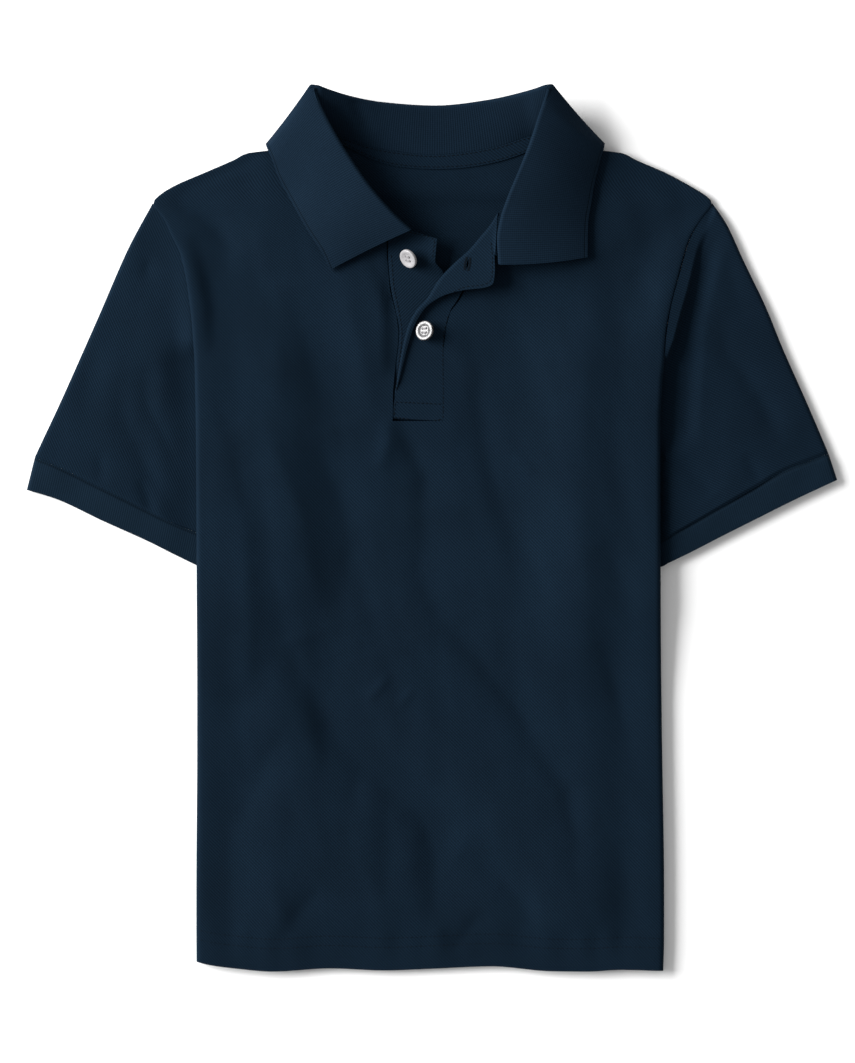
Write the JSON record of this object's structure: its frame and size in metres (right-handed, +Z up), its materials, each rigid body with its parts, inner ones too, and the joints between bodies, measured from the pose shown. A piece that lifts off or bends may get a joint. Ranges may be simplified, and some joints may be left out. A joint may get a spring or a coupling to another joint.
{
  "type": "polo shirt",
  "caption": "Child's short-sleeved pique polo shirt laid flat, collar open, top of the placket folded back, sides turned under.",
  "frame": {"origin": "middle of the laid shirt's footprint, on the surface it lies on", "axes": "+Z up off the surface, +Y towards the collar, +X to the viewer's right as the front is seen"},
  "size_m": [0.4738, 0.5164, 0.0275],
  "materials": {
    "pique": "matt navy cotton pique",
    "rib_knit": "matt navy flat rib knit",
    "button": "pearly off-white polyester"
  },
  "bodies": {
    "root": {"back_panel": "pique", "front_panel": "pique", "sleeve_left": "pique", "sleeve_right": "pique", "cuff_left": "rib_knit", "cuff_right": "rib_knit", "collar": "rib_knit", "neck_tape": "pique", "placket_under": "pique", "placket_upper": "pique", "button_top": "button", "button_lower": "button"}
  },
  "joints": []
}
